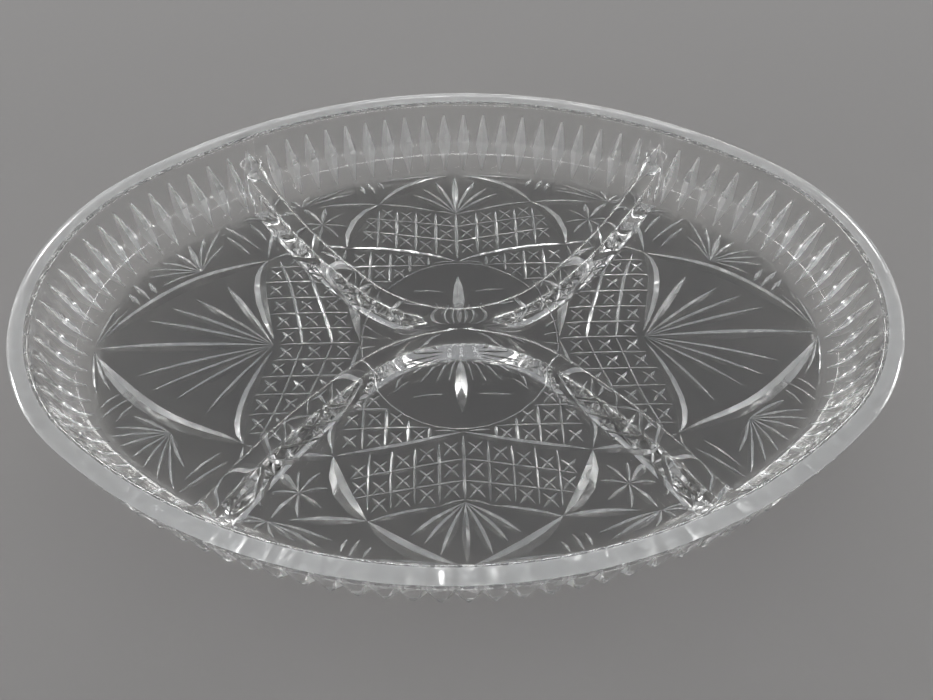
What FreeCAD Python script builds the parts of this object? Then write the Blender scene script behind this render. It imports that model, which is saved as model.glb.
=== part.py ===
"""Oval divided serving dish of clear pressed glass, in millimetres, +Z up.

The origin is the middle of the face the dish stands on. The outline is an oval of four
tangent arcs: two end arcs on the X axis and two side arcs on the Y axis. Wall and rim are
rings whose section is turned about each arc's own centre, so both rings are made of four
sectors: back (+Y), front (-Y), right (+X) and left (-X).
"""
import FreeCAD
import Part
import math
import os
import Sketcher
from FreeCAD import Placement, Rotation, Vector

DIMENSIONS = {
    # outline
    "overall_length": 325.0,
    "overall_width": 217.0,
    "end_radius": 78.0,
    "overall_height": 37.6,
    # rim band: flat top, rounded towards the inside, standing a little proud of the wall
    "rim_bottom": 33.1,
    "rim_width": 6.9,
    "rim_round": 1.8,
    "rim_bevel": 0.4,
    "rim_step": 0.8,
    # side wall: insets are measured inwards from the rim's outer edge. Outside, it drops to a
    # shoulder and slopes in from there to the edge of the flat base
    "shoulder_inset": 1.2,
    "shoulder_height": 12.1,
    "base_inset": 13.0,
    "inner_knee_inset": 9.5,
    "inner_knee_height": 14.6,
    "cove_radius": 9.6,
    "floor_inset": 17.0,
    "floor_top": 5.8,
    # upright V-shaped flutes, each the cut of a V-edged wheel outside the wall
    "side_flutes": 32,
    "end_flutes": 16,
    "wheel_radius": 300.0,
    "wheel_outset": 288.0,
    "wheel_height": -51.1,
    "wheel_half_angle": 55.0,
    "wheel_rim_depth": 8.0,
    "wheel_arc": 22.0,
    # dividers: the middle line is an arc of divider_bend, then one of divider_sweep
    "divider_start": 5.2,
    "divider_bend": 57.0,
    "divider_sweep": 246.0,
    "bend_turn": 40.0,
    "hub_turn": 24.0,
    "wall_turn": 58.9,
    "divider_top_width": 8.2,
    "divider_foot_width": 13.8,
    "divider_shoulder": 3.2,
    "hub_crest": 14.9,
    "wall_crest": 23.0,
    "saddle_length": 20.0,
    "saddle_drop": 1.5,
    # the space behind the wall's inner face, which the dividers' ends are trimmed against
    "room_reach": 20.0,
}

SIDE_RADIUS = (
    "((dims.overall_length / 2) ^ 2 + (dims.overall_width / 2) ^ 2"
    " - dims.overall_length * dims.end_radius)"
    " / (dims.overall_width - 2 * dims.end_radius)"
)
END_CENTRE = "(dims.overall_length / 2 - dims.end_radius)"
SIDE_CENTRE = f"({SIDE_RADIUS} - dims.overall_width / 2)"
JOINT_ANGLE = f"atan2({SIDE_CENTRE}; {END_CENTRE})"

# sector name: origin plane of its section, arc radius, arc centre's distance, turn about Z
SECTORS = {
    "back": ("YZ_Plane", SIDE_RADIUS, f"-{SIDE_CENTRE}", f"180deg - 2 * {JOINT_ANGLE}", 0),
    "front": ("YZ_Plane", SIDE_RADIUS, f"-{SIDE_CENTRE}", f"180deg - 2 * {JOINT_ANGLE}", 180),
    "right": ("XZ_Plane", "dims.end_radius", END_CENTRE, f"2 * {JOINT_ANGLE}", 0),
    "left": ("XZ_Plane", "dims.end_radius", END_CENTRE, f"2 * {JOINT_ANGLE}", 180),
}

# ring sections: corners as (inset from the outer edge, height), each with the radius of the
# arc that follows it, or None for a straight edge; a negative radius curves the other way
WALL_SECTION = [
    ("dims.floor_inset", "0", None),
    ("dims.base_inset", "0", None),
    ("dims.shoulder_inset", "dims.shoulder_height", None),
    ("dims.rim_step", "dims.rim_bottom", None),
    ("dims.rim_width", "dims.rim_bottom", None),
    ("dims.inner_knee_inset", "dims.inner_knee_height", "-dims.cove_radius"),
    ("dims.floor_inset", "dims.floor_top", None),
]
RIM_SECTION = [
    ("dims.rim_width", "dims.rim_bottom", None),
    ("0", "dims.rim_bottom", None),
    ("0", "dims.overall_height - dims.rim_bevel", None),
    ("dims.rim_bevel", "dims.overall_height", None),
    ("dims.rim_width - dims.rim_round", "dims.overall_height", "dims.rim_round"),
    ("dims.rim_width", "dims.overall_height - dims.rim_round", None),
]
ROOM_SECTION = [
    ("dims.floor_inset", "0", None),
    ("-dims.room_reach", "0", None),
    ("-dims.room_reach", "dims.rim_bottom", None),
] + WALL_SECTION[4:]

# where the divider's sections stand: turn of the middle line as a share of the way
# from one named turn to the next
HUB_TURNS = ["-dims.hub_turn", "-dims.hub_turn / 2", "0", "dims.hub_turn / 2", "dims.hub_turn"]
DIVIDER_TURNS = [
    "dims.hub_turn",
    "(dims.hub_turn + dims.bend_turn) / 2",
    "dims.bend_turn",
    "dims.bend_turn + (dims.wall_turn - dims.bend_turn) / 3",
    "dims.bend_turn + (dims.wall_turn - dims.bend_turn) * 2 / 3",
    "dims.wall_turn",
]
CREST_POWER = 1.3


def make_sheet(doc):
    """Put the driving dimensions in a spreadsheet, one alias each."""
    sheet = doc.addObject("Spreadsheet::Sheet", "dims")
    for row, (name, value) in enumerate(DIMENSIONS.items(), start=1):
        sheet.set(f"A{row}", name)
        sheet.set(f"B{row}", str(value))
        sheet.setAlias(f"B{row}", name)
    doc.recompute()
    return sheet


def value_of(obj, expression):
    """The plain number that an expression gives just now."""
    result = obj.evalExpression(expression)
    return float(getattr(result, "Value", result))


def new_body(doc, label, turn=0.0):
    body = doc.addObject("PartDesign::Body", label)
    body.Label = label
    body.Placement = Placement(Vector(0, 0, 0), Rotation(Vector(0, 0, 1), turn))
    return body


def new_sketch(body, name, plane_role):
    sketch = body.newObject("Sketcher::SketchObject", name)
    plane = [item for item in body.Origin.OriginFeatures if item.Role == plane_role][0]
    sketch.AttachmentSupport = [(plane, "")]
    sketch.MapMode = "FlatFace"
    return sketch


def pin_point(sketch, geometry, point, across, up):
    """Hold a sketch point at (across, up), given as expressions."""
    for kind, axis, expression in (("DistanceX", -2, across), ("DistanceY", -1, up)):
        if expression == "0":
            sketch.addConstraint(Sketcher.Constraint("PointOnObject", geometry, point, axis))
            continue
        value = value_of(sketch, expression)
        index = sketch.addConstraint(Sketcher.Constraint(kind, -1, 1, geometry, point, value))
        sketch.setExpression(f"Constraints[{index}]", expression)


def add_arc(sketch, start, end, radius):
    """Add the short arc from start to end, left-hand turning if radius is positive."""
    chord = end - start
    rise = math.sqrt(radius ** 2 - (chord.Length / 2) ** 2)
    normal = Vector(-chord.y, chord.x, 0).normalize()
    centre = (start + end) / 2 + normal * math.copysign(rise, radius)
    first, last = (start, end) if radius > 0 else (end, start)
    angles = [math.atan2(point.y - centre.y, point.x - centre.x) for point in (first, last)]
    circle = Part.Circle(centre, Vector(0, 0, 1), abs(radius))
    geometry = sketch.addGeometry(Part.ArcOfCircle(circle, *angles), False)
    return (geometry, 1, 2) if radius > 0 else (geometry, 2, 1)


def draw_outline(sketch, corners):
    """Close an outline through corners (across, up, radius of the arc that follows)."""
    places = [Vector(value_of(sketch, a), value_of(sketch, u), 0) for a, u, _ in corners]
    edges = []
    for number, (_, _, radius) in enumerate(corners):
        start, end = places[number], places[(number + 1) % len(corners)]
        if radius is None:
            geometry = sketch.addGeometry(Part.LineSegment(start, end), False)
            edges.append((geometry, 1, 2))
        else:
            edges.append(add_arc(sketch, start, end, value_of(sketch, radius)))
    for number, (across, up, radius) in enumerate(corners):
        geometry, start_point, _ = edges[number]
        before, _, end_point = edges[number - 1]
        join = Sketcher.Constraint("Coincident", before, end_point, geometry, start_point)
        sketch.addConstraint(join)
        pin_point(sketch, geometry, start_point, across, up)
        if radius is not None:
            size = abs(value_of(sketch, radius))
            index = sketch.addConstraint(Sketcher.Constraint("Radius", geometry, size))
            sketch.setExpression(f"Constraints[{index}]", f"abs({radius})")


def ring_sector(doc, ring, section, sector):
    """One sector of a ring: its section turned about the centre of the outline's arc."""
    plane_role, arc_radius, centre, angle, turn = SECTORS[sector]
    body = new_body(doc, f"{ring}_{sector}", turn)
    sketch = new_sketch(body, f"{ring}_{sector}_section", plane_role)
    sketch.setExpression("AttachmentOffset.Base.x", centre)
    corners = [(f"{arc_radius} - {inset}", height, radius) for inset, height, radius in section]
    draw_outline(sketch, corners)
    turned = body.newObject("PartDesign::Revolution", f"{ring}_{sector}_turned")
    turned.Profile = sketch
    turned.ReferenceAxis = (sketch, ["V_Axis"])
    turned.Midplane = True
    turned.setExpression("Angle", angle)
    doc.recompute()
    return body, sketch


def cut_flutes(doc, body, section, sector):
    """Cut the first flute of a wall sector with a V-edged wheel and repeat it round the arc."""
    plane_role, arc_radius, centre, angle, _ = SECTORS[sector]
    count = "dims.side_flutes" if sector in ("back", "front") else "dims.end_flutes"
    wheel = new_sketch(body, f"{body.Label}_wheel", "XY_Plane")
    along = "x" if plane_role == "XZ_Plane" else "y"
    wheel.setExpression(f"AttachmentOffset.Base.{along}", centre)
    wheel.setExpression("AttachmentOffset.Base.z", "dims.wheel_height")
    first_turn = f"({angle}) / 2 * (1 - 1 / {count})"
    base_turn = "0deg" if plane_role == "XZ_Plane" else "90deg"
    wheel.setExpression("AttachmentOffset.Rotation.Angle", f"{base_turn} - {first_turn}")
    edge = f"({arc_radius} + dims.wheel_outset - dims.wheel_radius)"
    half_width = "(dims.wheel_rim_depth * tan(dims.wheel_half_angle * 1deg))"
    draw_outline(
        wheel,
        [
            (edge, "0", None),
            (f"{edge} + dims.wheel_rim_depth", half_width, None),
            (f"{edge} + dims.wheel_rim_depth", f"-{half_width}", None),
        ],
    )
    axle_place = f"{arc_radius} + dims.wheel_outset"
    axle = Part.LineSegment(
        Vector(value_of(wheel, axle_place), -1, 0), Vector(value_of(wheel, axle_place), 1, 0)
    )
    axle_line = wheel.addGeometry(axle, True)
    pin_point(wheel, axle_line, 1, axle_place, "-1")
    pin_point(wheel, axle_line, 2, axle_place, "1")
    uncut = body.Shape.Volume
    groove = body.newObject("PartDesign::Groove", f"{body.Label}_flute")
    groove.Profile = wheel
    groove.ReferenceAxis = (wheel, ["Axis0"])
    groove.Midplane = True
    groove.setExpression("Angle", "2 * dims.wheel_arc")
    doc.recompute()
    if groove.Shape.Volume > uncut - 1.0:
        raise RuntimeError(f"the flute of {body.Label} cuts nothing")
    pattern = body.newObject("PartDesign::PolarPattern", f"{body.Label}_flutes")
    pattern.Originals = [groove]
    pattern.Axis = (section, ["V_Axis"])
    pattern.setExpression("Angle", f"({angle}) * (1 - 1 / {count})")
    pattern.setExpression("Occurrences", count)
    body.Tip = pattern
    doc.recompute()


def floor_panel(doc):
    """The flat oval floor: a quarter oval padded and mirrored twice."""
    body = new_body(doc, "floor_panel")
    sketch = new_sketch(body, "floor_quarter", "XY_Plane")
    end_radius = "(dims.end_radius - dims.floor_inset)"
    side_radius = f"({SIDE_RADIUS} - dims.floor_inset)"
    end_size, side_size = value_of(sketch, end_radius), value_of(sketch, side_radius)
    end_centre, side_centre = value_of(sketch, END_CENTRE), value_of(sketch, SIDE_CENTRE)
    joint = math.atan2(side_centre, end_centre)
    up = Vector(0, 0, 1)
    length, width = end_centre + end_size, side_size - side_centre
    end_circle = Part.Circle(Vector(end_centre, 0, 0), up, end_size)
    side_circle = Part.Circle(Vector(0, -side_centre, 0), up, side_size)
    origin = Vector(0, 0, 0)
    long_line = sketch.addGeometry(Part.LineSegment(origin, Vector(length, 0, 0)), False)
    end_arc = sketch.addGeometry(Part.ArcOfCircle(end_circle, 0, joint), False)
    side_arc = sketch.addGeometry(Part.ArcOfCircle(side_circle, joint, math.pi / 2), False)
    short_line = sketch.addGeometry(Part.LineSegment(Vector(0, width, 0), origin), False)
    for constraint in (
        ("Coincident", long_line, 1, -1, 1),
        ("Horizontal", long_line),
        ("Coincident", long_line, 2, end_arc, 1),
        ("Tangent", end_arc, 2, side_arc, 1),
        ("Coincident", side_arc, 2, short_line, 1),
        ("Vertical", short_line),
        ("Coincident", short_line, 2, -1, 1),
        ("PointOnObject", end_arc, 3, -1),
        ("PointOnObject", side_arc, 3, -2),
    ):
        sketch.addConstraint(Sketcher.Constraint(*constraint))
    half_length = "(dims.overall_length / 2 - dims.floor_inset)"
    half_width = "(dims.overall_width / 2 - dims.floor_inset)"
    for constraint, expression in (
        (("DistanceX", -1, 1, long_line, 2, length), half_length),
        (("DistanceY", -1, 1, short_line, 1, width), half_width),
        (("Radius", end_arc, end_size), end_radius),
    ):
        index = sketch.addConstraint(Sketcher.Constraint(*constraint))
        sketch.setExpression(f"Constraints[{index}]", expression)
    pad = body.newObject("PartDesign::Pad", "floor_pad")
    pad.Profile = sketch
    pad.setExpression("Length", "dims.floor_top")
    mirrored = body.newObject("PartDesign::MultiTransform", "floor_mirrored")
    steps = []
    for name, axis in (("floor_sideways", "V_Axis"), ("floor_lengthways", "H_Axis")):
        step = doc.addObject("PartDesign::Mirrored", name)
        body.addObject(step)
        step.MirrorPlane = (sketch, [axis])
        steps.append(step)
    mirrored.Originals = [pad]
    mirrored.Transformations = steps
    body.Tip = mirrored
    doc.recompute()
    return body


def middle_line(turn):
    """Where the divider's middle line stands when it has turned by this angle: along X, Y."""
    bent = f"min({turn}; dims.bend_turn)"
    swept = f"max({turn}; dims.bend_turn)"
    along = (
        f"(dims.divider_bend * sin({bent})"
        f" + dims.divider_sweep * (sin({swept}) - sin(dims.bend_turn)))"
    )
    across = (
        f"(dims.divider_start + dims.divider_bend * (1 - cos({bent}))"
        f" + dims.divider_sweep * (cos(dims.bend_turn) - cos({swept})))"
    )
    return along, across


def crest_height(turn):
    """The divider's crest climbs slowly from the hub and faster near the wall."""
    def travel(angle):
        return (
            f"(dims.divider_bend * min(abs({angle}); dims.bend_turn)"
            f" + dims.divider_sweep * (max(abs({angle}); dims.bend_turn) - dims.bend_turn))"
        )

    share = f"({travel(turn)} / {travel('dims.wall_turn')})"
    return f"(dims.hub_crest + (dims.wall_crest - dims.hub_crest) * {share} ^ {CREST_POWER})"


def divider_loft(doc, body, turns, side):
    """Loft the round-topped divider section through its stations; side is +1 right, -1 left."""
    sections = []
    rise = "dims.divider_shoulder"
    round_top = f"(((dims.divider_top_width / 2) ^ 2 + {rise} ^ 2) / (2 * {rise}))"
    for number, turn in enumerate(turns):
        sketch = new_sketch(body, f"{body.Label}_section_{number}", "YZ_Plane")
        along, across = middle_line(turn)
        sketch.AttachmentOffset = Placement(Vector(0, 0, 0), Rotation(Vector(0, 1, 0), 1.0))
        sketch.setExpression("AttachmentOffset.Base.x", across)
        sketch.setExpression("AttachmentOffset.Base.z", f"{side} * {along}")
        sketch.setExpression("AttachmentOffset.Rotation.Angle", f"{side} * ({turn}) * 1deg")
        shoulder = f"{crest_height(turn)} - {rise}"
        draw_outline(
            sketch,
            [
                ("-dims.divider_foot_width / 2", "dims.floor_top", None),
                ("dims.divider_foot_width / 2", "dims.floor_top", None),
                ("dims.divider_top_width / 2", shoulder, round_top),
                ("-dims.divider_top_width / 2", shoulder, None),
            ],
        )
        sections.append(sketch)
    doc.recompute()
    loft = body.newObject("PartDesign::AdditiveLoft", f"{body.Label}_loft")
    loft.Profile = sections[0]
    loft.Sections = sections[1:]
    loft.Ruled = False
    doc.recompute()
    return loft


def centre_hub(doc):
    """The saddle where the back and front pairs of dividers run into each other."""
    body = new_body(doc, "centre_hub")
    loft = divider_loft(doc, body, HUB_TURNS, 1)
    mirrored = body.newObject("PartDesign::Mirrored", "hub_front_half")
    mirrored.Originals = [loft]
    plane = [item for item in body.Origin.OriginFeatures if item.Role == "XZ_Plane"][0]
    mirrored.MirrorPlane = (plane, [""])
    body.Tip = mirrored
    doc.recompute()
    sketch = new_sketch(body, "saddle_outline", "XY_Plane")
    sketch.setExpression("AttachmentOffset.Base.z", "dims.floor_top")
    half_length, half_width = "dims.saddle_length / 2", "dims.divider_start"
    draw_outline(
        sketch,
        [
            (f"-{half_length}", f"-{half_width}", None),
            (half_length, f"-{half_width}", None),
            (half_length, half_width, None),
            (f"-{half_length}", half_width, None),
        ],
    )
    saddle = body.newObject("PartDesign::Pad", "saddle_pad")
    saddle.Profile = sketch
    saddle.setExpression("Length", "dims.hub_crest - dims.saddle_drop - dims.floor_top")
    body.Tip = saddle
    doc.recompute()
    return body


def divider(doc, end, side, room):
    """One curved divider from the hub to the inner face of the wall; room trims its end."""
    turn = 0.0 if end == "back" else 180.0
    right_hand = (side == "right") == (end == "back")
    body = new_body(doc, f"rib_{end}_{side}", turn)
    divider_loft(doc, body, DIVIDER_TURNS, 1 if right_hand else -1)
    trimmed = doc.addObject("Part::Cut", f"divider_{end}_{side}")
    trimmed.Label = f"divider_{end}_{side}"
    trimmed.Base = body
    trimmed.Tool = room
    doc.recompute()
    return trimmed


def check(doc, nodes):
    """Stop if any object failed or any sub-part is not a valid solid."""
    for item in doc.Objects:
        if "Invalid" in item.State or "Error" in item.State:
            raise RuntimeError(f"{item.Name} failed: {item.State}")
    for node in nodes:
        shape = node.Shape
        if shape.isNull() or not shape.isValid() or len(shape.Solids) != 1:
            raise RuntimeError(f"{node.Label} is not one valid solid")


def main():
    doc = FreeCAD.newDocument("divided_dish")
    make_sheet(doc)
    nodes = [floor_panel(doc)]
    for sector in SECTORS:
        wall, section = ring_sector(doc, "wall", WALL_SECTION, sector)
        cut_flutes(doc, wall, section, sector)
        nodes.append(wall)
        nodes.append(ring_sector(doc, "rim", RIM_SECTION, sector)[0])
    nodes.append(centre_hub(doc))
    for end in ("back", "front"):
        room = ring_sector(doc, "room", ROOM_SECTION, end)[0]
        for side in ("left", "right"):
            nodes.append(divider(doc, end, side, room))
    doc.recompute()
    check(doc, nodes)
    os.makedirs("parts", exist_ok=True)
    for node in nodes:
        node.Shape.exportStep(f"parts/{node.Label}.step")
        print(f"{node.Label}: {node.Shape.Volume / 1000:.2f} cm3")


main()
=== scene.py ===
"""Oval divided serving dish of clear pressed glass, on a plain floor.

The dish is one moulding, so one closed mesh stands for all of its CAD nodes. It is worked
out in millimetres for the quarter with X and Y above zero, mirrored twice and joined:

- the skin: a profile carried round the oval outline, from the base's edge up the fluted
  outside, over the rim and down the inner face to the floor;
- the bed: the floor's top and the dividers, a height worked out over the plan;
- the underside: a flat slab cut with V-edged wheels, in the pattern pressed into the glass.
"""

import math

import bmesh
import bpy
import numpy as np
from mathutils import Matrix, Vector
from mathutils.geometry import delaunay_2d_cdt


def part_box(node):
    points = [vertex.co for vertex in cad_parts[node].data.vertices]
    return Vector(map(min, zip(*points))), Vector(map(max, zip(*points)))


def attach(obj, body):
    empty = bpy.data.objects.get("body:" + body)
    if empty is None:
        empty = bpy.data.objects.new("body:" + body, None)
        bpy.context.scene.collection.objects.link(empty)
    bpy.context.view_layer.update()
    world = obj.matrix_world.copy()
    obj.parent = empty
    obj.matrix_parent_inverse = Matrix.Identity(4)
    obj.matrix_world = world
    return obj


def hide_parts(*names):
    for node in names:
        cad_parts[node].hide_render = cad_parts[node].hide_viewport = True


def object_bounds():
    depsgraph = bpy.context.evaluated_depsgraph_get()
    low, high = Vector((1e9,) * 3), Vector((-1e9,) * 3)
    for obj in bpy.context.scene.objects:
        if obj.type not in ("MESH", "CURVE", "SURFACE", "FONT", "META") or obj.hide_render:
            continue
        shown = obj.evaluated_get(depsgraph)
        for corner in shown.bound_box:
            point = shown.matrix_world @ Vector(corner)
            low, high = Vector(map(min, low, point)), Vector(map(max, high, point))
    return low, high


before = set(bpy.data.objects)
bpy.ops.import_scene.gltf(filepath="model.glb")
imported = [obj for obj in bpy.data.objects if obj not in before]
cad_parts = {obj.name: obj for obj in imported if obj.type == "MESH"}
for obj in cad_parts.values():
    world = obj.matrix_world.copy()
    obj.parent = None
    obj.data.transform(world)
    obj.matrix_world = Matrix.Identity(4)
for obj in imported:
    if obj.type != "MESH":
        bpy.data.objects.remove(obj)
cad_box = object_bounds()

MM = 0.001
# Corners closer than this, in millimetres, are one corner.
TINY = 1e-3


def in_mm(corner):
    return np.array(corner) / MM


# ---- sizes from the frame, in millimetres -------------------------------------------------
HALF_LENGTH, HALF_WIDTH, TOP = in_mm(cad_box[1])
FLOOR_LOW, FLOOR_HIGH = (in_mm(corner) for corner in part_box("floor_panel"))
RIM_BOTTOM = in_mm(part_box("rim_back")[0])[2]
UNDERSIDE, FLOOR_TOP = FLOOR_LOW[2], FLOOR_HIGH[2]
FLOOR_INSET = HALF_LENGTH - FLOOR_HIGH[0]
WALL_CREST = in_mm(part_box("divider_back_right")[1])[2]
HUB_SAG = 0.4
HUB_CREST = in_mm(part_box("centre_hub")[1])[2] - HUB_SAG

# ---- outline: an oval of four tangent arcs ------------------------------------------------
END_RADIUS = 0.48 * HALF_LENGTH
SIDE_RADIUS = (
    (HALF_LENGTH ** 2 + HALF_WIDTH ** 2 - 2 * HALF_LENGTH * END_RADIUS)
    / (2 * (HALF_WIDTH - END_RADIUS))
)
END_CENTRE = HALF_LENGTH - END_RADIUS
SIDE_CENTRE = SIDE_RADIUS - HALF_WIDTH
JOINT_TURN = math.atan2(END_CENTRE, SIDE_CENTRE)
QUARTER_TURN = math.pi / 2

# ---- wall and rim: insets are measured inwards from the rim's outer edge --------------------
RIM_WIDTH = 6.9
RIM_ROUND = 1.8
RIM_BEVEL, BEVEL_ROUND = 0.4, 0.3
RIM_STEP = 0.8
RIM_FLAT = 1.5
# The rim's lower edge: (inset, height above the rim's bottom), the first reached by an arc.
RIM_EDGE = ((0.32, 0.25), (0.15, 0.3), (0.0, 0.5))
RIM_EDGE_RADIUS = 0.5
RIM_TOP_DEPTH = 0.1
SHOULDER_INSET, SHOULDER_HEIGHT = 1.2, 12.1
SHOULDER_ROUND = 3.0
BASE_INSET = 13.0
KNEE_INSET, KNEE_HEIGHT = 9.5, 14.6
COVE_RADIUS = 9.6

# ---- flutes: V grooves, deepest at the shoulder and closed at both ends ---------------------
SIDE_FLUTES, END_FLUTES = 16, 8
FLUTE_TOP, FLUTE_BOTTOM = 30.2, 0.9
FLUTE_DEPTH = 3.1
FLUTE_SLOPE = math.tan(math.radians(55))
FLUTE_POWER = 0.85
EDGE_SOFTNESS = 0.12
# Columns of corners across half of a groove, as shares of the way to its edge. The ones next to
# the valley are satin. The edge itself stays between two shares of half the pitch.
COLUMN_SHARES = (0.0, 0.08, 0.36, 0.66, 0.95, 1.0)
SATIN_COLUMNS = 3
NARROWEST, WIDEST = 0.12, 0.94

# ---- dividers: the middle line is an arc of BEND, then one of SWEEP --------------------------
DIVIDER_START = 5.2
BEND, BEND_TURN = 57.0, math.radians(40)
SWEEP, WALL_TURN = 246.0, math.radians(58.9)
CREST_POWER = 1.3
END_REACH, END_RISE, MOST_CLIMB = 12.0, 3.2, 1.3
TOP_HALF_WIDTH, FOOT_HALF_WIDTH = 4.1, 6.9
SHOULDER_DROP = 3.2
HUB_BLEND = 8.0
FLOOR_FILLET = 2.2
WALL_FLARE, FLARE_REACH, FLARE_RISE, FLARE_FALLOFF = 3.4, 7.0, 7.0, 1.6

# ---- pattern: its plan is drawn in units, 141.7 of them to half of the dish's length --------
# Cuts are placed one by one in the quarter with X and Y above zero, and widths are in units too.
UNIT = HALF_LENGTH / 141.7
CUT_SLOPE = math.tan(math.radians(52))
CUT_WIDENING = 1.3
CUT_SPACING = 5.0
CUT_MARGIN = 0.12
CUT_GAP = 0.15
LINE_WIDTH = 0.95
STAR_WIDTH = 1.25
FAN_SKEW = 0.85
SLAB_THICKNESS = 3.5

# ---- finishes of the glass, by material slot --------------------------------------------------
# The last slot, for the rim's flat top, is paler and less clear glass: painted brightness for the
# light carried up the wall.
CLEAR, CUT, FLUTE, PAINTED_BRIGHT_RIM = 0, 1, 2, 3
# Each slot's name, least and greatest roughness, and share of light let through.
FINISHES = (
    ("pressed_glass", 0.0, 0.04, 1.0),
    ("pressed_glass_cuts", 0.08, 0.16, 0.88),
    ("pressed_glass_flutes", 0.28, 0.42, 0.96),
    # The rim's flat top is rougher and lets less light through, so more of the glass's pale colour
    # shows: painted brightness standing in for the light that runs up inside the wall.
    ("pressed_glass_rim_painted_bright", 0.1, 0.25, 0.6),
)
SHARP_ANGLE = math.radians(24)


# =============================================================================================
# small tools
# =============================================================================================
def smooth_max(a, b, reach):
    """The larger of a and b, rounded where they are within reach of each other."""
    near = np.maximum(reach - np.abs(a - b), 0.0) / reach
    return np.maximum(a, b) + near ** 2 * reach / 4


def smooth_min(a, b, reach):
    """The smaller of a and b, rounded where they are within reach of each other."""
    return -smooth_max(-a, -b, reach)


def plan(turn, inset):
    """The plan point on the outline whose outward normal has turned from +Y to +X by turn."""
    turn = np.asarray(turn, float)
    on_side = turn <= JOINT_TURN
    radius = np.where(on_side, SIDE_RADIUS, END_RADIUS) - inset
    x = np.where(on_side, 0.0, END_CENTRE) + radius * np.sin(turn)
    y = np.where(on_side, -SIDE_CENTRE, 0.0) + radius * np.cos(turn)
    return x, y


def inset_of(x, y):
    """How far a plan point of the quarter is inside the outline."""
    on_side = np.arctan2(x, y + SIDE_CENTRE) <= JOINT_TURN
    side = SIDE_RADIUS - np.hypot(x, y + SIDE_CENTRE)
    end = END_RADIUS - np.hypot(x - END_CENTRE, y)
    return np.where(on_side, side, end)


class Mesh:
    """Corners and faces gathered for one mesh, in millimetres."""

    def __init__(self):
        self.points = []
        self.faces = []
        self.finishes = []

    def add_points(self, points):
        first = len(self.points)
        self.points.extend(tuple(float(value) for value in point) for point in points)
        return list(range(first, len(self.points)))

    def add_face(self, corners, finish):
        self.faces.append(tuple(corners))
        self.finishes.append(finish)

    def join_rows(self, row, row_turns, following, following_turns, finishes):
        """Fill between two rows of corners, with quads where both have the same columns."""
        if len(row) == len(following):
            for k in range(len(row) - 1):
                corners = (row[k], row[k + 1], following[k + 1], following[k])
                self.add_face(corners, finishes[k])
            return
        i = j = 0
        while i < len(row) - 1 or j < len(following) - 1:
            row_next = row_turns[i + 1] if i < len(row) - 1 else math.inf
            following_next = following_turns[j + 1] if j < len(following) - 1 else math.inf
            if row_next <= following_next:
                self.add_face((row[i], row[i + 1], following[j]), finishes[0])
                i += 1
            else:
                self.add_face((row[i], following[j + 1], following[j]), finishes[0])
                j += 1


# =============================================================================================
# dividers and inner face as heights
# =============================================================================================
BEND_CENTRE = np.array([0.0, DIVIDER_START + BEND])
BEND_END_WAY = np.array([-math.sin(BEND_TURN), math.cos(BEND_TURN)])
SWEEP_CENTRE = BEND_CENTRE + (SWEEP - BEND) * BEND_END_WAY
BEND_LENGTH = BEND * BEND_TURN
LINE_LENGTH = BEND_LENGTH + SWEEP * (WALL_TURN - BEND_TURN)


def middle_line(travel):
    """Plan point and turn of the divider's middle line at a distance along it from x = 0."""
    travel = np.asarray(travel, float)
    bent = travel < BEND_LENGTH
    turn = np.where(bent, travel / BEND, BEND_TURN + (travel - BEND_LENGTH) / SWEEP)
    radius = np.where(bent, BEND, SWEEP)
    x = np.where(bent, BEND_CENTRE[0], SWEEP_CENTRE[0]) + radius * np.sin(turn)
    y = np.where(bent, BEND_CENTRE[1], SWEEP_CENTRE[1]) - radius * np.cos(turn)
    return x, y, turn


def from_middle_line(x, y):
    """Distance of plan points from the middle line, and how far along it they are."""
    bend_turn = np.arctan2(x - BEND_CENTRE[0], BEND_CENTRE[1] - y)
    sweep_turn = np.arctan2(x - SWEEP_CENTRE[0], SWEEP_CENTRE[1] - y)
    bent = np.abs(bend_turn) < BEND_TURN
    off_bend = np.abs(np.hypot(x - BEND_CENTRE[0], y - BEND_CENTRE[1]) - BEND)
    off_sweep = np.abs(np.hypot(x - SWEEP_CENTRE[0], y - SWEEP_CENTRE[1]) - SWEEP)
    away = np.where(bent, off_bend, off_sweep)
    travel = np.where(bent, bend_turn * BEND, BEND_LENGTH + (sweep_turn - BEND_TURN) * SWEEP)
    return away, travel


def crest_height(travel):
    """Height of a divider's crest, which climbs more steeply as it runs into the wall."""
    share = np.clip(np.abs(travel) / LINE_LENGTH, 0, 1)
    climb = np.clip((np.abs(travel) - LINE_LENGTH + END_REACH) / END_REACH, 0, MOST_CLIMB)
    return HUB_CREST + (WALL_CREST - HUB_CREST) * share ** CREST_POWER + END_RISE * climb ** 2


def divider_height(x, y):
    """Height of the dividers over a plan point; below the floor where there is none."""
    away_back, travel = from_middle_line(x, y)
    away_front, _ = from_middle_line(x, -y)
    away = np.maximum(smooth_min(away_back, away_front, HUB_BLEND), 0.0)
    crest = crest_height(travel)
    radius = (TOP_HALF_WIDTH ** 2 + SHOULDER_DROP ** 2) / (2 * SHOULDER_DROP)
    rounded = crest - radius + np.sqrt(np.maximum(radius ** 2 - away ** 2, 0.0))
    slope = (crest - SHOULDER_DROP - FLOOR_TOP) / (FOOT_HALF_WIDTH - TOP_HALF_WIDTH)
    flank = FLOOR_TOP + slope * (FOOT_HALF_WIDTH - away)
    return np.where(away < TOP_HALF_WIDTH, rounded, flank)


def bed_height(x, y):
    """The floor's top with the dividers standing on it."""
    return smooth_max(divider_height(x, y), FLOOR_TOP, FLOOR_FILLET)


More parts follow.
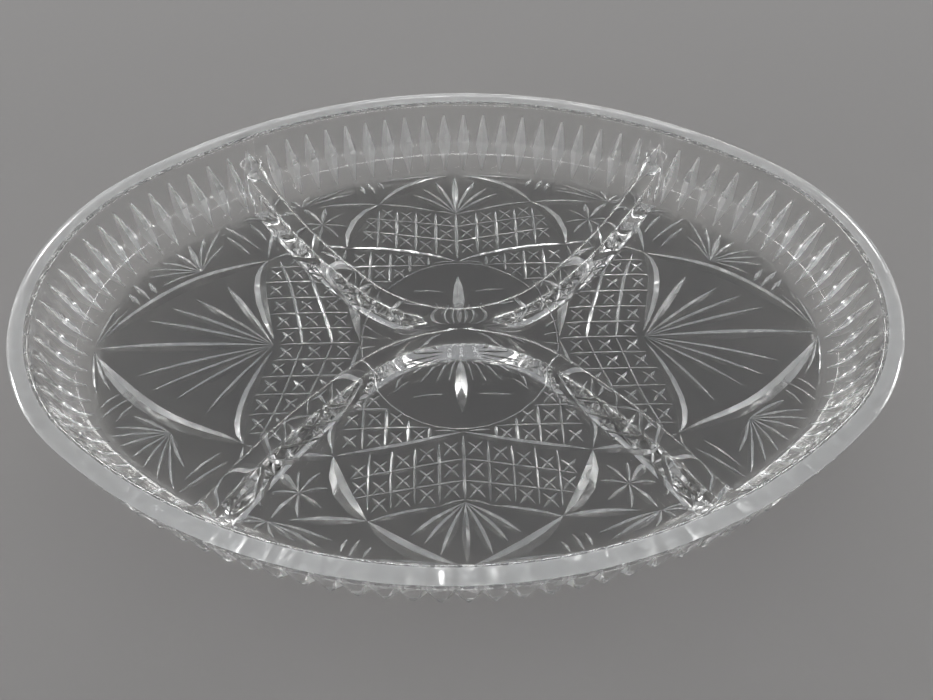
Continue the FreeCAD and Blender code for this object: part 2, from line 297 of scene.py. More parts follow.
def flare(turn, inset, z):
    """How far the inner face swells inwards round a divider's end."""
    x, y = plan(turn, inset)
    away, travel = from_middle_line(x, y)
    crest = crest_height(travel)
    above = np.clip((z - crest + FLARE_RISE * 0.5) / FLARE_RISE, 0, 1)
    fade = 1 - above ** 2 * (3 - 2 * above)
    return WALL_FLARE * np.exp(-(away / FLARE_REACH) ** 2 * FLARE_FALLOFF) * fade


# =============================================================================================
# the skin
# =============================================================================================
def arc_points(start, end, radius, count):
    """Points of the short arc from start to end, left-hand turning if radius is positive."""
    start, end = np.array(start, float), np.array(end, float)
    chord = end - start
    length = np.hypot(*chord)
    rise = math.sqrt(radius ** 2 - (length / 2) ** 2)
    normal = np.array([-chord[1], chord[0]]) / length
    centre = (start + end) / 2 + normal * math.copysign(rise, radius)
    first = math.atan2(*(start - centre)[::-1])
    sweep = 2 * math.asin(length / 2 / abs(radius)) * math.copysign(1, radius)
    turns = first + sweep * np.linspace(0, 1, count + 1)[1:]
    return [tuple(centre + abs(radius) * np.array([math.cos(a), math.sin(a)])) for a in turns]


def line_points(start, end, count):
    """Points of the straight line from start to end, without its start."""
    start, end = np.array(start, float), np.array(end, float)
    return [tuple(start + (end - start) * k / count) for k in range(1, count + 1)]


def outside_profile():
    """(inset, height) from the base's edge up to the outer edge of the rim's top."""
    slope = np.array([SHOULDER_INSET - BASE_INSET, SHOULDER_HEIGHT - UNDERSIDE])
    wall = np.array([RIM_STEP - SHOULDER_INSET, RIM_BOTTOM - SHOULDER_HEIGHT])
    shoulder = np.array([SHOULDER_INSET, SHOULDER_HEIGHT])
    round_start = shoulder - slope / np.hypot(*slope) * SHOULDER_ROUND / 2
    round_end = shoulder + wall / np.hypot(*wall) * SHOULDER_ROUND / 2
    turn = math.atan2(*wall[::-1]) - math.atan2(*slope[::-1])
    radius = SHOULDER_ROUND / 2 / math.tan(abs(turn) / 2)
    points = [(BASE_INSET, UNDERSIDE)]
    points += line_points(points[-1], tuple(round_start), count=12)
    points += arc_points(points[-1], tuple(round_end), -radius, count=3)
    points += line_points(points[-1], (RIM_STEP, RIM_BOTTOM), count=16)
    edge = [(inset, RIM_BOTTOM + rise) for inset, rise in RIM_EDGE]
    points += arc_points(points[-1], edge[0], -RIM_EDGE_RADIUS, count=2)
    points += edge[1:]
    points += line_points(points[-1], (0.0, TOP - RIM_BEVEL), count=3)
    corner = RIM_BEVEL * BEVEL_ROUND
    points.append((corner, TOP - corner))
    points.append((RIM_BEVEL, TOP))
    return points


def inside_profile():
    """(inset, height) from the rim's flat top over its rounded lip and down to the floor."""
    lip = (RIM_WIDTH - RIM_ROUND, TOP)
    points = [(RIM_WIDTH - RIM_ROUND - RIM_FLAT, TOP), lip]
    points += arc_points(lip, (RIM_WIDTH, TOP - RIM_ROUND), -RIM_ROUND, count=6)
    points += line_points(points[-1], (KNEE_INSET, KNEE_HEIGHT), count=18)
    points += arc_points(points[-1], (FLOOR_INSET, FLOOR_TOP), COVE_RADIUS, count=12)
    return points


def flute_turns():
    """Turn of each flute's valley, half its pitch as a turn, and the arc's radius."""
    flutes = []
    for count, first, last, radius in (
        (SIDE_FLUTES, 0.0, JOINT_TURN, SIDE_RADIUS),
        (END_FLUTES, JOINT_TURN, QUARTER_TURN, END_RADIUS),
    ):
        half = (last - first) / count / 2
        flutes += [(first + half * (2 * k + 1), half, radius) for k in range(count)]
    return flutes


def valley_depth(z):
    """Depth of a flute's valley below the uncut face at a height."""
    if z > SHOULDER_HEIGHT:
        share = (FLUTE_TOP - z) / (FLUTE_TOP - SHOULDER_HEIGHT)
    else:
        share = (z - FLUTE_BOTTOM) / (SHOULDER_HEIGHT - FLUTE_BOTTOM)
    return FLUTE_DEPTH * max(share, 0.0) ** FLUTE_POWER


def flute_depth(offsets, half_pitch, valley):
    """Depth of a groove at offsets from its valley, with slightly rounded edges."""
    ridge = np.sqrt((half_pitch - offsets) ** 2 + EDGE_SOFTNESS ** 2)
    depth = valley - (half_pitch - ridge) / FLUTE_SLOPE
    return 0.5 * (depth + np.sqrt(depth ** 2 + EDGE_SOFTNESS ** 2))


def fluted_row(inset, z, inward):
    """Turns, insets and heights of one row of the outside; columns follow the groove's edges."""
    valley = valley_depth(z)
    turns, depths = [0.0], []
    for middle, half, radius in flute_turns():
        local = radius - inset
        half_pitch = half * local
        edge = max(valley * FLUTE_SLOPE, NARROWEST * half_pitch)
        edge = min(edge, WIDEST * half_pitch)
        offsets = [edge * share for share in COLUMN_SHARES] + [half_pitch]
        both = [-offset for offset in offsets[:0:-1]] + offsets
        deep = np.zeros(len(both))
        if valley > 0:
            deep = flute_depth(np.abs(np.array(both)), half_pitch, valley)
        if not depths:
            depths.append(deep[0])
        turns += [middle + offset / local for offset in both[1:]]
        depths += list(deep[1:])
    turns[-1] = QUARTER_TURN
    depths = np.array(depths)
    return np.array(turns), inset + depths * inward[0], z + depths * inward[1], depths


def inner_turns():
    """Column turns of the inside, closest together round the divider's end."""
    fine_step, coarse_step, growth = 0.55, 2.4, 1.12
    fine_reach, end_back, least_turn = 9.0, 8.0, 0.004
    end_x, end_y, _ = middle_line(LINE_LENGTH - end_back)
    end_turn = math.atan2(end_x, end_y + SIDE_CENTRE)
    local = SIDE_RADIUS - KNEE_INSET
    offsets = [0.0]
    step = fine_step
    while offsets[-1] < fine_reach:
        offsets.append(offsets[-1] + step)
    while end_turn + offsets[-1] / local < JOINT_TURN * 3:
        step = min(step * growth, coarse_step)
        offsets.append(offsets[-1] + step)
    before = [end_turn - offset / local for offset in offsets[:0:-1]]
    after = [end_turn + offset / local for offset in offsets]
    side = [turn for turn in before + after if least_turn < turn < JOINT_TURN - least_turn]
    end_sweep = QUARTER_TURN - JOINT_TURN
    end_count = int(end_sweep * (END_RADIUS - KNEE_INSET) / coarse_step)
    end = list(JOINT_TURN + end_sweep * np.arange(end_count + 1) / end_count)
    return np.array([0.0] + side + end)


def base_turns():
    """Column turns of the base's edge, which the underside shares."""
    return fluted_row(BASE_INSET, UNDERSIDE, (1.0, 0.0))[0]


def in_rim_top(z):
    """Whether a row lies on the rim's flat top, painted paler for the light carried up the wall.
    """
    return z > TOP - RIM_TOP_DEPTH


def outside_finishes(depths, z):
    """The finish of each face below a row: satin beside a groove's valley."""
    # Faces on the rim's flat top get the paler, less clear glass, a painted brightness for the
    # light carried up the wall.
    if in_rim_top(z):
        return [PAINTED_BRIGHT_RIM] * len(depths)
    per_side = len(COLUMN_SHARES)
    finishes = []
    for k in range(len(depths) - 1):
        column = k % (2 * per_side)
        from_valley = per_side - 1 - column if column < per_side else column - per_side
        deep = max(depths[k], depths[k + 1]) > 2 * EDGE_SOFTNESS
        finishes.append(FLUTE if deep and from_valley < SATIN_COLUMNS else CLEAR)
    return finishes


def add_skin(mesh):
    """The skin of the quarter; returns the corners of its innermost row."""
    previous = None
    outside = outside_profile()
    ways = np.gradient(np.array(outside), axis=0)
    ways /= np.hypot(ways[:, 0], ways[:, 1])[:, None]
    for (inset, z), way in zip(outside, ways):
        turns, insets, heights, depths = fluted_row(inset, z, (way[1], -way[0]))
        x, y = plan(turns, insets)
        row = mesh.add_points(zip(x, y, heights))
        if previous:
            mesh.join_rows(*previous, row, turns, outside_finishes(depths, z))
        previous = (row, turns)
    turns = inner_turns()
    for inset, z in inside_profile():
        past_rim = inset > RIM_WIDTH - TINY
        swollen = inset + flare(turns, inset, z) * past_rim
        x, y = plan(turns, swollen)
        height = smooth_max(divider_height(x, y), np.full(len(turns), z), FLOOR_FILLET)
        row = mesh.add_points(zip(x, y, height))
        # Rows on the rim's flat top get the paler, less clear glass: painted brightness for the
        # light carried up inside the wall.
        finish = PAINTED_BRIGHT_RIM if in_rim_top(z) else CLEAR
        mesh.join_rows(*previous, row, turns, [finish] * len(turns))
        previous = (row, turns)
    return previous[0]


# =============================================================================================
# the bed
# =============================================================================================
# Points stand at these distances on both sides of the middle line, closest at the flanks.
DIVIDER_OFFSETS = (0, 1.0, 2.0, 2.9, 3.6, 4.1, 4.6, 5.2, 5.8, 6.4, 7.0, 7.8, 9.0, 11.5)
LINE_START, LINE_STEP = 0.8, 1.7
# Elsewhere they are sparse, and none comes closer to the axes or the skin than these gaps.
SPARSE_STEP, SPARSE_FROM = 11.0, 16.0
AXIS_GAP, RING_GAP, BORDER_GAP = 0.5, 0.8, 0.6


def bed_points():
    """Plan points for the bed: rows beside the middle line, and a sparse spread elsewhere."""
    points = []
    for travel in np.arange(LINE_START, LINE_LENGTH, LINE_STEP):
        x, y, turn = middle_line(travel)
        for offset in DIVIDER_OFFSETS:
            for side in ((1, -1) if offset else (1,)):
                px = float(x) - math.sin(turn) * offset * side
                py = float(y) + math.cos(turn) * offset * side
                points.append((px, py))
    for row in range(int(HALF_WIDTH / SPARSE_STEP) + 1):
        for column in range(int(HALF_LENGTH / SPARSE_STEP) + 1):
            x = (column + 0.5 * (row % 2) + 0.3) * SPARSE_STEP
            y = (row + 0.4) * SPARSE_STEP
            if from_middle_line(x, y)[0] > SPARSE_FROM:
                points.append((x, y))
    points = np.array(points)
    inside = (points[:, 0] > AXIS_GAP) & (points[:, 1] > AXIS_GAP)
    inside &= inset_of(points[:, 0], points[:, 1]) > FLOOR_INSET + RING_GAP
    return points[inside]


def axis_places(end, fine_step, fine_end, coarse_start, coarse_step=9.0):
    """Places along an axis of symmetry up to a little before end, closest together at the hub."""
    fine = np.arange(fine_step, fine_end, fine_step)
    coarse = np.arange(coarse_start, end, coarse_step)
    return [place for place in np.concatenate([fine, coarse]) if place < end - 1]


def add_bed(mesh, ring):
    """Floor and dividers inside the ring of corners."""
    ring_points = np.array([mesh.points[k][:2] for k in ring])
    along_y = axis_places(ring_points[0][1], fine_step=1.2, fine_end=16, coarse_start=18)
    along_x = axis_places(ring_points[-1][0], fine_step=1.5, fine_end=34, coarse_start=38)
    border = list(map(tuple, ring_points))
    border += [(x, 0.0) for x in reversed(along_x)] + [(0.0, 0.0)] + [(0.0, y) for y in along_y]
    inner = bed_points()
    between = inner[:, None, :] - ring_points[None, :, :]
    inner = inner[np.hypot(between[..., 0], between[..., 1]).min(1) > BORDER_GAP]
    everything = [Vector(p) for p in border] + [Vector(p) for p in inner]
    edges = [(k, (k + 1) % len(border)) for k in range(len(border))]
    made, _, faces, origins, _, _ = delaunay_2d_cdt(everything, edges, [], 1, 1e-5)
    x = np.array([p[0] for p in made])
    y = np.array([p[1] for p in made])
    heights = bed_height(x, y)
    indices = []
    for number, point in enumerate(made):
        source = origins[number][0] if origins[number] else -1
        if 0 <= source < len(ring):
            indices.append(ring[source])
        else:
            indices += mesh.add_points([(point[0], point[1], heights[number])])
    for face in faces:
        mesh.add_face([indices[k] for k in face], CLEAR)


# =============================================================================================
# the underside
# =============================================================================================
def curve_through(points):
    """A smooth curve through plan points in pattern units: a function of the share from 0 to 1."""
    points = np.array(points, float) * UNIT
    if len(points) == 2:
        return lambda share: points[0] + (points[1] - points[0]) * share
    if len(points) == 3:
        control = 2 * points[1] - (points[0] + points[2]) / 2
        return lambda s: (1 - s) ** 2 * points[0] + 2 * s * (1 - s) * control + s ** 2 * points[2]
    steps = np.hypot(*np.diff(points, axis=0).T)
    knots = np.concatenate([[0], np.cumsum(steps)]) / steps.sum()
    slopes = np.gradient(points, knots, axis=0)

    def hermite(share):
        k = int(np.clip(np.searchsorted(knots, share) - 1, 0, len(knots) - 2))
        span = knots[k + 1] - knots[k]
        t = (share - knots[k]) / span
        return (
            (2 * t ** 3 - 3 * t ** 2 + 1) * points[k]
            + (t ** 3 - 2 * t ** 2 + t) * span * slopes[k]
            + (3 * t ** 2 - 2 * t ** 3) * points[k + 1]
            + (t ** 3 - t ** 2) * span * slopes[k + 1]
        )

    return hermite


class Cut:
    """A V groove in the underside, pointed at both ends, as the solid that cuts it.

    A greater fullness keeps it deep closer to its ends, and a skew under one moves its deepest
    place towards the last point.
    """

    def __init__(self, points, width, fullness=2.0, skew=1.0):
        path = curve_through(points)
        depth = width * CUT_WIDENING * UNIT / 2 / CUT_SLOPE
        margin = CUT_MARGIN * depth
        reach = (1 + margin / depth) ** (1 / fullness)
        samples = 8
        length = sum(
            np.hypot(*(path((k + 1) / samples) - path(k / samples))) for k in range(samples)
        )
        count = max(3, int(length / CUT_SPACING)) | 1
        steps = np.sin(np.linspace(-math.pi / 2, math.pi / 2, count + 2)) * reach
        centres, half_widths, depths = [], [], []
        for step in steps:
            share = (step + 1) / 2
            bent = math.copysign(abs(share) ** skew, share)
            centres.append(path(bent))
            deep = depth * (1 - abs(step) ** fullness)
            depths.append(deep)
            half_widths.append(max(deep + margin, 0.0) * CUT_SLOPE)
        self.centres = np.array(centres)
        self.half_widths = np.array(half_widths)
        self.depths = depths
        self.margin = margin

    def clears(self, other):
        """Whether this groove and another are nowhere near enough to touch."""
        between = self.centres[:, None, :] - other.centres[None, :, :]
        distance = np.hypot(between[..., 0], between[..., 1])
        reach = np.maximum(self.half_widths, self.spread())
        other_reach = np.maximum(other.half_widths, other.spread())
        return bool((distance > reach[:, None] + other_reach[None, :] + CUT_GAP).all())

    def spread(self):
        """Reach of the stretch of groove round each centre."""
        steps = np.hypot(*np.diff(self.centres, axis=0).T)
        longest = np.concatenate([[steps[0]], np.maximum(steps[1:], steps[:-1]), [steps[-1]]])
        return longest / 2 + self.half_widths / 2

    def solid(self, first):
        """Corners and faces, the corners numbered from first."""
        count = len(self.centres)
        along = np.gradient(self.centres, axis=0)
        along /= np.hypot(along[:, 0], along[:, 1])[:, None]
        across = np.stack([-along[:, 1], along[:, 0]], 1)
        low = UNDERSIDE - self.margin
        points = [(*self.centres[0], low)]
        for k in range(1, count - 1):
            left = self.centres[k] + across[k] * self.half_widths[k]
            right = self.centres[k] - across[k] * self.half_widths[k]
            points += [(*self.centres[k], UNDERSIDE + self.depths[k]), (*left, low), (*right, low)]
        points.append((*self.centres[-1], low))
        last = len(points) - 1
        faces = []
        for side in range(3):
            following = (side + 1) % 3
            faces.append((0, 1 + side, 1 + following))
            for k in range(count - 3):
                a, b = 1 + 3 * k, 4 + 3 * k
                faces.append((a + following, a + side, b + side))
                faces.append((a + following, b + side, b + following))
            a = 1 + 3 * (count - 3)
            faces.append((a + following, a + side, last))
        return points, [tuple(first + corner for corner in face) for face in faces]


def star(centre, size):
    """Two short crossing cuts."""
    x, y = centre
    return [
        Cut([(x - size, y - size), (x + size, y + size)], STAR_WIDTH),
        Cut([(x - size, y + size), (x + size, y - size)], STAR_WIDTH),
    ]


def stars(centres, size):
    """A star in each square of a crossed field."""
    return [cut for centre in centres for cut in star(centre, size)]


def fan(centre, tips, width):
    """Rays from a centre to each tip."""
    return [Cut([centre, tip], width, skew=FAN_SKEW) for tip in tips]


def upright_lines(lines):
    """Thin straight cuts, each given by its x and the y of its ends."""
    return [Cut([(x, low), (x, high)], LINE_WIDTH, fullness=6) for x, low, high in lines]


def level_lines(lines, fullness):
    """Thin straight cuts, each given by its y and the x of its ends."""
    return [
        Cut([(left, y), (right, y)], LINE_WIDTH, fullness=fullness) for y, left, right in lines
    ]


def cuts_of_side_fan():
    """The long rays that open towards the dish's end, and the curve that they spring from."""
    cuts = [Cut([(65, 0), (97, 0), (128, 0)], 3.0, skew=0.9)]
    cuts += fan((66.1, 0), [(112, 11.5), (105, 17), (97, 21), (86, 26.5)], 2.0)
    cuts.append(Cut([(71.6, 38.3), (73.6, 25), (66, 2)], 3.4, fullness=2.6))
    return cuts


def cuts_of_great_curves():
    """The curves that divide the pattern into fields, and the shorter ones beside them."""
    return [
        Cut([(128, 3), (119.5, 12), (100, 27.5), (71.6, 38.3)], 3.6, fullness=3),
        Cut([(71.6, 38.6), (55, 42.8), (42.1, 43.4)], 2.4, fullness=3),
        Cut([(42.1, 43.4), (20, 40.6), (0, 35.8)], 2.2, fullness=3),
        Cut([(42.6, 43.0), (43.7, 33), (40, 22), (35.5, 0.5)], 3.0, fullness=2.6),
        Cut([(42.3, 43.6), (39, 56), (30.6, 65.5)], 4.2, fullness=2.4),
        Cut([(30.6, 65.5), (18, 75), (2, 81)], 3.6, fullness=2.4),
        Cut([(30.6, 65.8), (8, 61.5)], 1.6),
        Cut([(8, 61.5), (0, 59.5)], 1.2),
        Cut([(30.8, 65.5), (55, 64.7)], 2.2),
        Cut([(72, 39), (71, 48), (70, 55)], 2.6),
        Cut([(70, 55), (74, 58.2), (78.5, 59.2), (84, 58.6)], 2.2),
        Cut([(65, 45), (66.5, 52), (64, 60)], 2.6),
        Cut([(129, 1), (124.5, 18)], 1.8),
        Cut([(129, 1), (120, 17)], 1.5),
        Cut([(4, 81), (30, 78.5)], 1.6),
    ]


def cuts_of_front_field():
    """Rays and crossed squares in the middle of a long side."""
    end = 36
    cuts = fan((0, 60.3), [(0, 80), (8, 77.5), (13, 73.5), (17, 70.5)], 2.0)
    cuts += upright_lines(
        [(0, 37, 60), (8, 39.5, 60.5), (15.8, 41, 61), (23.3, 41.8, 62), (30.5, 42.8, 62.5)]
    )
    for first, slope in ((45.5, 0.17), (53, 0.15)):
        cuts.append(Cut([(-1, first), (end, first + slope * end)], LINE_WIDTH, fullness=8))
    centres = [
        (4, 42), (4, 49.5), (4, 56.5), (12, 44), (12, 51.5), (12, 58), (19.6, 46), (19.6, 53),
        (19.6, 59), (27, 48), (27, 55), (27, 60.5), (34, 49.2), (33.5, 55),
    ]
    return cuts + stars(centres, 2.5)


def cuts_of_hat():
    """Crossed squares between the medallion and the field of the long side."""
    cuts = upright_lines([(11, 34, 39), (18, 31, 40.5), (25.5, 26, 41.2), (33, 14, 42)])
    cuts += level_lines([(34, 11, 40.5), (26.8, 24, 40.5), (20.3, 30, 39.5)], fullness=6)
    centres = [
        (14.5, 37), (22, 37.6), (29.3, 38), (37.3, 38.4), (22, 30.5), (29.3, 30.5),
        (37, 30.5), (30, 23.6), (36.3, 23.6), (35.6, 16.5),
    ]
    cuts += stars(centres, 2.3)
    cuts.append(Cut([(1.5, 35.8), (9.5, 35.2)], 1.0))
    cuts.append(Cut([(1.5, 36.4), (10, 38)], 1.0))
    return cuts


def cuts_of_side_field():
    """The band of crossed squares between the medallion and the side fan."""
    cuts = [
        Cut([(45, -1), (48, 10), (53, 24), (59, 40)], LINE_WIDTH, fullness=8),
        Cut([(55.5, -1), (58.5, 12), (62.5, 26), (67.5, 38)], LINE_WIDTH, fullness=8),
        Cut([(38, 12), (43.5, 27), (50, 41)], LINE_WIDTH, fullness=6),
    ]
    rows = [
        (0.0, 36, 64), (6.5, 38, 66), (13.2, 40, 69),
        (20.2, 42, 71.5), (27.6, 43.5, 72), (34.6, 44.5, 71),
    ]
    cuts += level_lines(rows, fullness=8)
    for y, places in (
        (3.3, (41.3, 51.5, 61.3)), (9.9, (43, 53.3, 63.4)), (16.7, (46.5, 55.6, 65.3)),
        (23.9, (47.5, 57.8, 67.5)), (31.2, (49.8, 60.2, 68)), (38, (52, 61)),
    ):
        cuts += stars([(x, y) for x in places], 2.3)
    return cuts


def cuts_of_medallion():
    """The middle of the dish: a petal, short rays round the hub, and a thin ring."""
    cuts = [Cut([(0, 7), (0, 29)], 3.4)]
    for degrees, start, end, width in (
        (14, 7, 17, 0.9), (27, 7, 19, 1.1), (40, 7, 22, 1.2), (54, 8, 25, 1.3),
        (68, 8, 25, 1.2), (79, 8, 24, 1.1), (90, 6, 19, 1.0),
    ):
        sine, cosine = math.sin(math.radians(degrees)), math.cos(math.radians(degrees))
        ends = [(start * sine, start * cosine), (end * sine, end * cosine)]
        cuts.append(Cut(ends, width))
    for ends in (
        [(6, 21.6), (17, 22.4)], [(18, 16), (23, 20.5)], [(20.5, 12.5), (22.5, 19.5)],
        [(31, 5), (35.5, 8)], [(30, 1.6), (36, 2.6)],
    ):
        cuts.append(Cut(ends, 1.0))
    radius = 35.0
    turns = np.radians([-4, 12, 28, 45, 62, 78, 94])
    ring = [(radius * math.sin(turn), radius * math.cos(turn)) for turn in turns]
    cuts.append(Cut(ring, 0.5, fullness=12))
    return cuts


def cuts_of_petal_star():
    """A star of eight petals, and the fan beside it."""
    centre = (52.5, 55.6)
    petals = (
        ((46, 49), 1.6), ((53, 48.3), 1.3), ((60.5, 47.5), 2.4), ((43.3, 54.4), 1.3),
        ((61.5, 55.4), 1.5), ((52, 64), 1.8), ((60.5, 64), 2.2), ((45, 61), 1.2),
    )
    cuts = [Cut([centre, tip], width, skew=0.8) for tip, width in petals]
    tips = [(75, 61.5), (71, 65), (66, 68), (59, 71), (52, 72), (44, 74.5), (41, 71.5)]
    return cuts + fan((61.5, 64.8), tips, 1.5)


def cuts_of_corner():
    """The fan near the corner, and short parallel cuts along the edge."""
    tips = [
        (90, 46), (92.5, 54), (98.3, 50.5), (103.5, 46.5), (108, 42.7), (113, 38.5),
        (116.5, 34.7), (115.5, 31), (110, 27),
    ]
    cuts = fan((96.5, 33.5), tips, 1.7)
    for ends in (
        [(79, 41), (89.5, 50.5)], [(76, 44), (91, 55.5)], [(73.5, 48), (81.5, 57)],
        [(111, 23), (115.5, 29)], [(113, 20.5), (121, 28)], [(116.5, 18.5), (122, 24)],
        [(29, 74), (31.5, 78)], [(32.5, 71.5), (36, 77.8)], [(36.5, 71.3), (38.5, 76)],
    ):
        cuts.append(Cut(ends, 1.5))
    return cuts


def all_cuts():
    return (
        cuts_of_side_fan() + cuts_of_great_curves() + cuts_of_front_field() + cuts_of_hat()
        + cuts_of_side_field() + cuts_of_medallion() + cuts_of_petal_star() + cuts_of_corner()
    )


def in_groups(cuts):
    """Split the cuts into groups whose members stay clear of each other."""
    groups = []
    for cut in cuts:
        for group in groups:
            if all(cut.clears(other) for other in group):
                group.append(cut)
                break
        else:
            groups.append([cut])
    return groups


def mesh_object(name, points, faces):
    """A new object in the scene, with its own mesh."""
    mesh = bpy.data.meshes.new(name)
    mesh.from_pydata([tuple(map(float, p)) for p in points], [], faces)
    mesh.update()
    obj = bpy.data.objects.new(name, mesh)
    bpy.context.scene.collection.objects.link(obj)
    return obj


def make_slab(above):
    """A flat slab up to the height above, whose lower face is the uncut underside."""
    turns = base_turns()
    x, y = plan(turns, np.full(len(turns), BASE_INSET))
    edge = list(zip(x, y)) + [(0.0, 0.0)]
    count = len(edge)
    points = [(px, py, z) for z in (UNDERSIDE, above) for px, py in edge]
    faces = [tuple(range(count)), tuple(range(2 * count - 1, count - 1, -1))]
    for k in range(count):
        following = (k + 1) % count
        faces.append((following, k, k + count, following + count))
    return mesh_object("slab", points, faces)


def make_cutter(name, group):
    """One object out of the cuts of a group, which don't touch each other."""
    points, faces = [], []
    for cut in group:
        more_points, more_faces = cut.solid(len(points))
        points += more_points
        faces += more_faces
    return mesh_object(name, points, faces)


def cut_away(slab, cutter):
    """Take the cutter's shape out of the slab."""
    modifier = slab.modifiers.new(cutter.name, "BOOLEAN")
    modifier.operation = "DIFFERENCE"
    modifier.solver = "MANIFOLD"
    modifier.object = cutter


def add_underside(mesh):
    """The cut underside of the quarter: the slab's faces below its top and inside its sides."""
    above = UNDERSIDE + SLAB_THICKNESS
    slab = make_slab(above)
    cutters = [
        make_cutter(f"cutter_{number}", group)
        for number, group in enumerate(in_groups(all_cuts()))
    ]
    for cutter in cutters:
        cut_away(slab, cutter)
    bpy.context.view_layer.update()
    result = bpy.data.meshes.new_from_object(
        slab.evaluated_get(bpy.context.evaluated_depsgraph_get())
    )
    placed = mesh.add_points(v.co for v in result.vertices)
    for polygon in result.polygons:
        corners = np.array([result.vertices[k].co for k in polygon.vertices])
        on_mirror_plane = (np.abs(corners[:, :2]).max(0) < TINY / 10).any()
        if corners[:, 2].max() < above - 0.1 and not on_mirror_plane:
            flat = corners[:, 2].max() < UNDERSIDE + TINY
            mesh.add_face([placed[k] for k in polygon.vertices], CLEAR if flat else CUT)
    for obj in [slab] + cutters:
        data = obj.data
        bpy.data.objects.remove(obj)
        bpy.data.meshes.remove(data)
    bpy.data.meshes.remove(result)


# =============================================================================================
# the whole dish
# =============================================================================================
def mirrored(quarter):
    """Points, faces and finishes of the quarter and its mirror images, not yet joined."""
    points = np.array(quarter.points)
    all_points, all_faces = [], []
    for sign_x, sign_y in ((1, 1), (-1, 1), (-1, -1), (1, -1)):
        first = len(all_points)
        all_points += list(map(tuple, points * [sign_x, sign_y, 1]))
        step = 1 if sign_x * sign_y > 0 else -1
        all_faces += [tuple(first + k for k in face[::step]) for face in quarter.faces]
    return all_points, all_faces, quarter.finishes * 4


def close_and_scale(data):
    """Join the four quarters into one closed surface, and turn millimetres into metres."""
    work = bmesh.new()
    work.from_mesh(data)
    bmesh.ops.remove_doubles(work, verts=work.verts, dist=TINY)
    loose = [vert for vert in work.verts if not vert.link_faces]
    bmesh.ops.delete(work, geom=loose, context="VERTS")
    ends = [edge for edge in work.edges if len(edge.link_faces) == 1]
    bmesh.ops.holes_fill(work, edges=ends, sides=3)
    bmesh.ops.recalc_face_normals(work, faces=work.faces)
    bmesh.ops.triangulate(work, faces=[face for face in work.faces if len(face.verts) > 4])
    bmesh.ops.scale(work, vec=(MM, MM, MM), verts=work.verts)
    work.to_mesh(data)
    work.free()


def make_dish():
    quarter = Mesh()
    ring = add_skin(quarter)
    add_bed(quarter, ring)
    add_underside(quarter)
    points, faces, finishes = mirrored(quarter)
    dish = mesh_object("glass_dish", points, faces)
    for finish in FINISHES:
        dish.data.materials.append(glass_material(*finish))
    dish.data.polygons.foreach_set("material_index", finishes)
    close_and_scale(dish.data)
    dish.data.polygons.foreach_set("use_smooth", [True] * len(dish.data.polygons))
    dish.data.set_sharp_from_angle(angle=SHARP_ANGLE)
    return dish


# =============================================================================================
# materials
# =============================================================================================
NOISE_LOW, NOISE_HIGH = 0.35, 0.7
# Sockets of a Mix node that mixes colours.
MIX_SHARE, MIX_FIRST, MIX_SECOND, MIX_RESULT = 0, 6, 7, 2


def noise_value(tree, scale, detail, low, high):
    """A noise texture over the object's own coordinates, spread between two values."""
    place = tree.nodes.new("ShaderNodeTexCoord")
    noise = tree.nodes.new("ShaderNodeTexNoise")
    noise.inputs["Scale"].default_value = scale
    noise.inputs["Detail"].default_value = detail
    spread = tree.nodes.new("ShaderNodeMapRange")
    spread.inputs["From Min"].default_value = NOISE_LOW
    spread.inputs["From Max"].default_value = NOISE_HIGH
    spread.inputs["To Min"].default_value = low
    spread.inputs["To Max"].default_value = high
    tree.links.new(place.outputs["Object"], noise.inputs["Vector"])
    tree.links.new(noise.outputs["Fac"], spread.inputs["Value"])
    return spread.outputs["Result"]


def glass_material(name, smoothest, roughest, clearness):
    """Glass with a slightly uneven tint, roughness and surface."""
    material = bpy.data.materials.new(name)
    material.use_nodes = True
    tree = material.node_tree
    shader = tree.nodes["Principled BSDF"]
    shader.inputs["Transmission Weight"].default_value = clearness
    shader.inputs["IOR"].default_value = 1.5
    tint = tree.nodes.new("ShaderNodeMix")
    tint.data_type = "RGBA"
    tint.inputs[MIX_FIRST].default_value = (0.985, 0.985, 0.975, 1)
    tint.inputs[MIX_SECOND].default_value = (0.94, 0.945, 0.94, 1)
    cloud = noise_value(tree, scale=26.0, detail=3.0, low=0.0, high=1.0)
    tree.links.new(cloud, tint.inputs[MIX_SHARE])
    tree.links.new(tint.outputs[MIX_RESULT], shader.inputs["Base Color"])
    haze = noise_value(tree, scale=45.0, detail=5.0, low=smoothest, high=roughest)
    tree.links.new(haze, shader.inputs["Roughness"])
    bump = tree.nodes.new("ShaderNodeBump")
    bump.inputs["Strength"].default_value = 0.25
    bump.inputs["Distance"].default_value = 0.0003
    ripple = noise_value(tree, scale=70.0, detail=1.0, low=0.0, high=1.0)
    tree.links.new(ripple, bump.inputs["Height"])
    tree.links.new(bump.outputs["Normal"], shader.inputs["Normal"])
    return material


def floor_material():
    material = bpy.data.materials.new("studio_floor")
    material.use_nodes = True
    tree = material.node_tree
    shader = tree.nodes["Principled BSDF"]
    shader.inputs["Base Color"].default_value = (0.44, 0.425, 0.415, 1)
    shader.inputs["Roughness"].default_value = 0.75
    return material


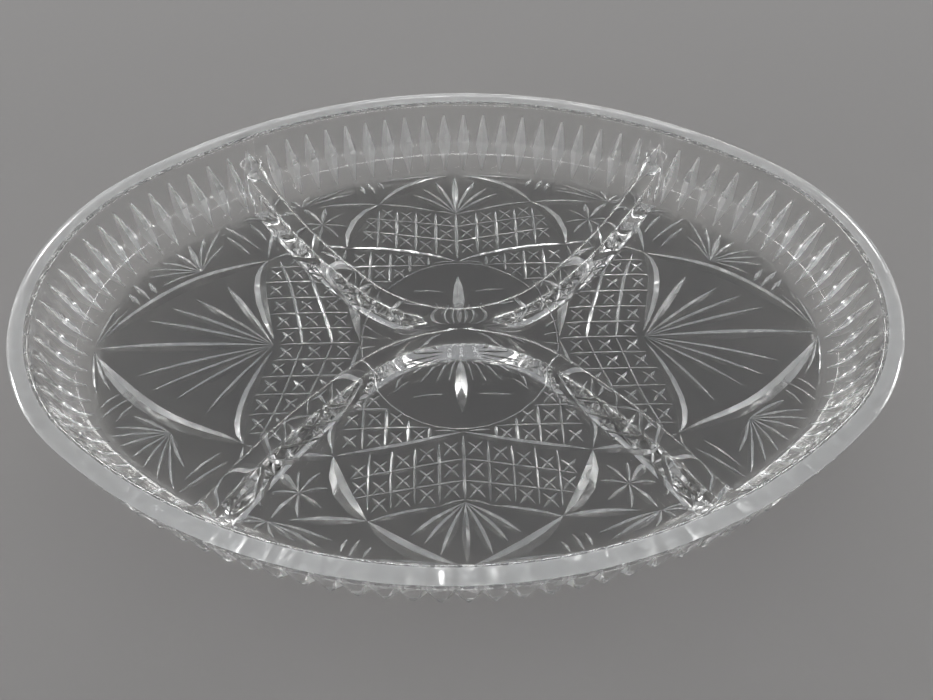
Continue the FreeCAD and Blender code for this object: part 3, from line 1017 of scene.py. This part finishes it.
# =============================================================================================
# camera, floor and light
# =============================================================================================
def make_camera():
    """The camera stands in front of the dish, looking down at it."""
    azimuth, elevation, roll = (math.radians(angle) for angle in (-2.42, 57.92, 0.69))
    distance = 0.3111
    target = Vector((0.0026, -0.0031, 0.0))
    back = Vector((
        math.sin(azimuth) * math.cos(elevation),
        -math.cos(azimuth) * math.cos(elevation),
        math.sin(elevation),
    ))
    data = bpy.data.cameras.new("camera")
    data.sensor_width = 36.0
    data.lens = 29.32
    data.clip_start = 0.01
    camera = bpy.data.objects.new("camera", data)
    bpy.context.scene.collection.objects.link(camera)
    side = Vector((0, 0, 1)).cross(back).normalized()
    up = back.cross(side)
    turned_side = side * math.cos(roll) + up * math.sin(roll)
    turned_up = up * math.cos(roll) - side * math.sin(roll)
    rotation = Matrix((turned_side, turned_up, back)).transposed()
    camera.rotation_mode = "QUATERNION"
    camera.rotation_quaternion = rotation.to_quaternion()
    camera.location = target + back * distance
    bpy.context.scene.camera = camera


def make_floor():
    """A plain pale floor that runs a long way past the dish."""
    reach, sides = 4.0, 64
    low = -0.0003
    points = [(0, 0, low)]
    for k in range(sides):
        turn = 2 * math.pi * k / sides
        points.append((reach * math.cos(turn), reach * math.sin(turn), low))
    faces = [(0, k + 1, (k + 1) % sides + 1) for k in range(sides)]
    floor = mesh_object("floor", points, faces)
    floor.data.materials.append(floor_material())


def add_light(name, location, aim, size, power):
    data = bpy.data.lights.new(name, "AREA")
    data.shape = "RECTANGLE"
    data.size, data.size_y = size
    data.energy = power
    light = bpy.data.objects.new(name, data)
    light.location = location
    direction = Vector(aim) - Vector(location)
    light.rotation_euler = direction.to_track_quat("-Z", "Y").to_euler()
    bpy.context.scene.collection.objects.link(light)


def make_light():
    """A dim sky, and four long low panels whose light runs in through the dish's side."""
    world = bpy.data.worlds.new("studio")
    bpy.context.scene.world = world
    world.use_nodes = True
    background = world.node_tree.nodes["Background"]
    background.inputs["Color"].default_value = (0.95, 0.97, 1.0, 1)
    background.inputs["Strength"].default_value = 0.3
    away, height = 6.0, 0.52
    panel = (10.3, 0.85)
    for name, side_x, side_y, power in (
        ("back_panel", 0, 1, 500),
        ("right_panel", 1, 0, 400),
        ("left_panel", -1, 0, 520),
        ("front_panel", 0, -1, 260),
    ):
        location = (side_x * away, side_y * away, height)
        add_light(name, location, (0, 0, height), panel, power)


def show_glass_fully():
    """Allow the many bounces that light makes inside thick glass, and keep highlights white."""
    cycles = bpy.context.scene.cycles
    cycles.max_bounces = 24
    cycles.glossy_bounces = 16
    cycles.transmission_bounces = 24
    bpy.context.scene.view_settings.view_transform = "Standard"


make_camera()
make_floor()
make_light()
show_glass_fully()
dish = make_dish()
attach(dish, "root")
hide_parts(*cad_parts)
